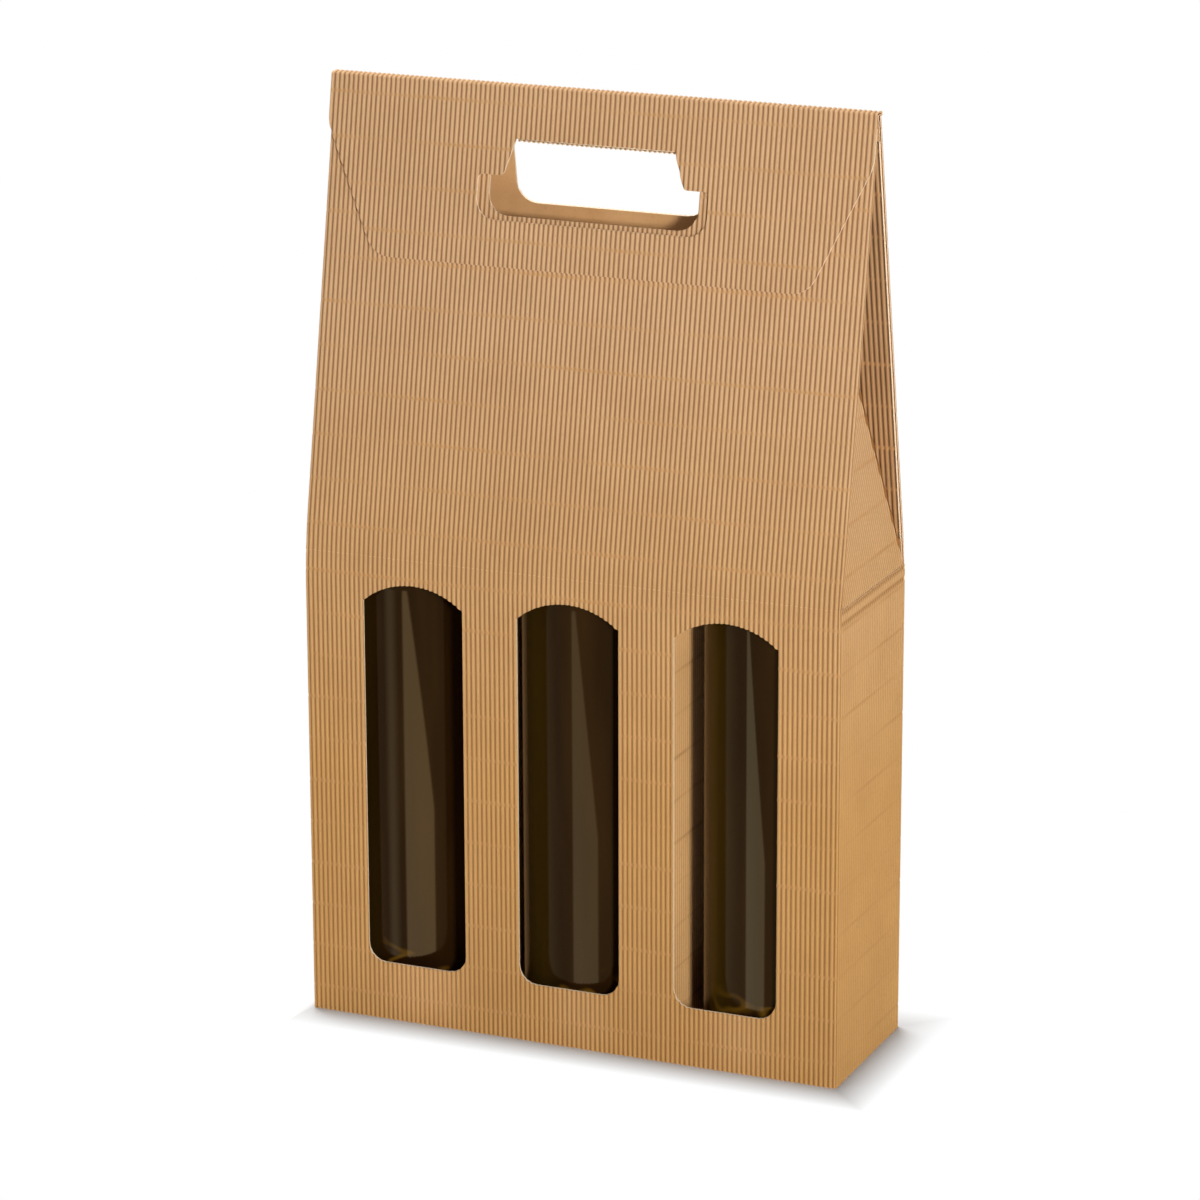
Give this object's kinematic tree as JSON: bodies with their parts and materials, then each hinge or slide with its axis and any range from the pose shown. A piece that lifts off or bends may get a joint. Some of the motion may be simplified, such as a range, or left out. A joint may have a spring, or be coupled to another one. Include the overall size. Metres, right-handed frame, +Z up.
{
  "type": "three bottle wine carrier",
  "caption": "Kraft corrugated gable-top carrier with arched front windows, divider insert, folded gussets and a lock-tab hand hole, loaded with dark glass wine bottles.",
  "frame": {"origin": "middle of the base, on the surface that the carrier stands on", "axes": "+X along the width, with the windows facing -Y, and +Z up"},
  "size_m": [0.2622, 0.084, 0.4384],
  "materials": {
    "fluted_kraft": "open flutes, matte kraft",
    "liner_kraft": "flat liner, matte kraft",
    "insert_kraft": "flat liner, matte kraft",
    "bottle_glass": "smooth dark olive glass",
    "wine": "dark red wine",
    "cork": "cut cork",
    "capsule": "shrink sleeve, satin"
  },
  "bodies": {
    "carton": {"front_wall": "fluted_kraft", "back_wall": "fluted_kraft", "left_wall": "fluted_kraft", "right_wall": "fluted_kraft", "glue_flap": "liner_kraft", "front_bottom_flap": "liner_kraft", "back_bottom_flap": "liner_kraft", "left_bottom_flap": "liner_kraft", "right_bottom_flap": "liner_kraft", "left_divider": "insert_kraft", "right_divider": "insert_kraft", "insert_base": "insert_kraft"},
    "front_gable": {"front_gable": "fluted_kraft"},
    "back_gable": {"back_gable": "fluted_kraft"},
    "crest_strip": {"crest_strip": "fluted_kraft"},
    "top_flap": {"top_flap": "fluted_kraft"},
    "lock_tab": {"lock_tab": "fluted_kraft"},
    "lock_tab_ears": {"lock_tab_ears": "fluted_kraft"},
    "left_gusset_centre": {"left_gusset_centre": "fluted_kraft"},
    "right_gusset_centre": {"right_gusset_centre": "fluted_kraft"},
    "left_gusset_front": {"left_gusset_front": "fluted_kraft"},
    "right_gusset_front": {"right_gusset_front": "fluted_kraft"},
    "left_gusset_back": {"left_gusset_back": "fluted_kraft"},
    "right_gusset_back": {"right_gusset_back": "fluted_kraft"},
    "bottle_1": {"bottle_1_glass": "bottle_glass", "bottle_1_wine": "wine", "bottle_1_cork": "cork", "bottle_1_capsule": "capsule"},
    "bottle_2": {"bottle_2_glass": "bottle_glass", "bottle_2_wine": "wine", "bottle_2_cork": "cork", "bottle_2_capsule": "capsule"},
    "bottle_3": {"bottle_3_glass": "bottle_glass", "bottle_3_wine": "wine", "bottle_3_cork": "cork", "bottle_3_capsule": "capsule"}
  },
  "joints": [
    {"name": "flap_fold", "type": "hinge", "parent": "crest_strip", "child": "top_flap", "pos_m": [0, -0.00449, 0.4366], "axis": [-1, 0, 0], "range_deg": [0, 160]},
    {"name": "crest_fold", "type": "hinge", "parent": "back_gable", "child": "crest_strip", "pos_m": [0, 0.00256, 0.4366], "axis": [-1, 0, 0], "range_deg": [0, 160]},
    {"name": "back_gable_fold", "type": "hinge", "parent": "carton", "child": "back_gable", "pos_m": [0, 0.0405, 0.224], "axis": [-1, 0, 0], "range_deg": [0, 10.52]},
    {"name": "front_gable_fold", "type": "hinge", "parent": "carton", "child": "front_gable", "pos_m": [0, -0.0405, 0.224], "axis": [1, 0, 0], "range_deg": [0, 10.52]},
    {"name": "left_gusset_centre_fold", "type": "hinge", "parent": "carton", "child": "left_gusset_centre", "pos_m": [-0.1296, 0, 0.224], "axis": [0, -1, 0], "range_deg": [0, 4.74]},
    {"name": "right_gusset_centre_fold", "type": "hinge", "parent": "carton", "child": "right_gusset_centre", "pos_m": [0.1296, 0, 0.224], "axis": [0, 1, 0], "range_deg": [0, 4.74]},
    {"name": "left_gusset_front_fold", "type": "hinge", "parent": "front_gable", "child": "left_gusset_front", "pos_m": [-0.1296, -0.0402, 0.22395], "axis": [0, 0.1825, 0.9832], "range_deg": [0, 52.46]},
    {"name": "right_gusset_front_fold", "type": "hinge", "parent": "front_gable", "child": "right_gusset_front", "pos_m": [0.1296, -0.0402, 0.22395], "axis": [0, -0.1825, -0.9832], "range_deg": [0, 52.46]},
    {"name": "left_gusset_back_fold", "type": "hinge", "parent": "back_gable", "child": "left_gusset_back", "pos_m": [-0.1296, 0.0402, 0.22395], "axis": [0, 0.1825, -0.9832], "range_deg": [0, 52.46]},
    {"name": "right_gusset_back_fold", "type": "hinge", "parent": "back_gable", "child": "right_gusset_back", "pos_m": [0.1296, 0.0402, 0.22395], "axis": [0, -0.1825, 0.9832], "range_deg": [0, 52.46]},
    {"name": "lock_tab_fold", "type": "hinge", "parent": "top_flap", "child": "lock_tab", "pos_m": [0, -0.00702, 0.41476], "axis": [-1, 0, 0], "range_deg": [0, 100.52]},
    {"name": "lock_tab_ears_fold", "type": "hinge", "parent": "lock_tab", "child": "lock_tab_ears", "pos_m": [0, 0.00952, 0.41476], "axis": [-1, 0, 0], "range_deg": [0, 100.52], "deforming": ["lock_tab_ears"]},
    {"name": "bottle_1_lift", "type": "slide", "parent": "carton", "child": "bottle_1", "axis": [0, 0, 1], "range_m": [0, 0.02]},
    {"name": "bottle_2_lift", "type": "slide", "parent": "carton", "child": "bottle_2", "axis": [0, 0, 1], "range_m": [0, 0.02]},
    {"name": "bottle_3_lift", "type": "slide", "parent": "carton", "child": "bottle_3", "axis": [0, 0, 1], "range_m": [0, 0.02]}
  ],
  "couplings": [
    {"joint": "crest_fold", "follows": "flap_fold", "ratio": 1},
    {"joint": "back_gable_fold", "follows": "flap_fold", "ratio": 0.065727},
    {"joint": "front_gable_fold", "follows": "flap_fold", "ratio": 0.065727},
    {"joint": "left_gusset_centre_fold", "follows": "flap_fold", "ratio": 0.029649},
    {"joint": "right_gusset_centre_fold", "follows": "flap_fold", "ratio": 0.029649},
    {"joint": "left_gusset_front_fold", "follows": "flap_fold", "ratio": 0.32788},
    {"joint": "right_gusset_front_fold", "follows": "flap_fold", "ratio": 0.32788},
    {"joint": "left_gusset_back_fold", "follows": "flap_fold", "ratio": 0.32788},
    {"joint": "right_gusset_back_fold", "follows": "flap_fold", "ratio": 0.32788},
    {"joint": "lock_tab_fold", "follows": "flap_fold", "ratio": 0.62823},
    {"joint": "lock_tab_ears_fold", "follows": "flap_fold", "ratio": 0.62823}
  ]
}
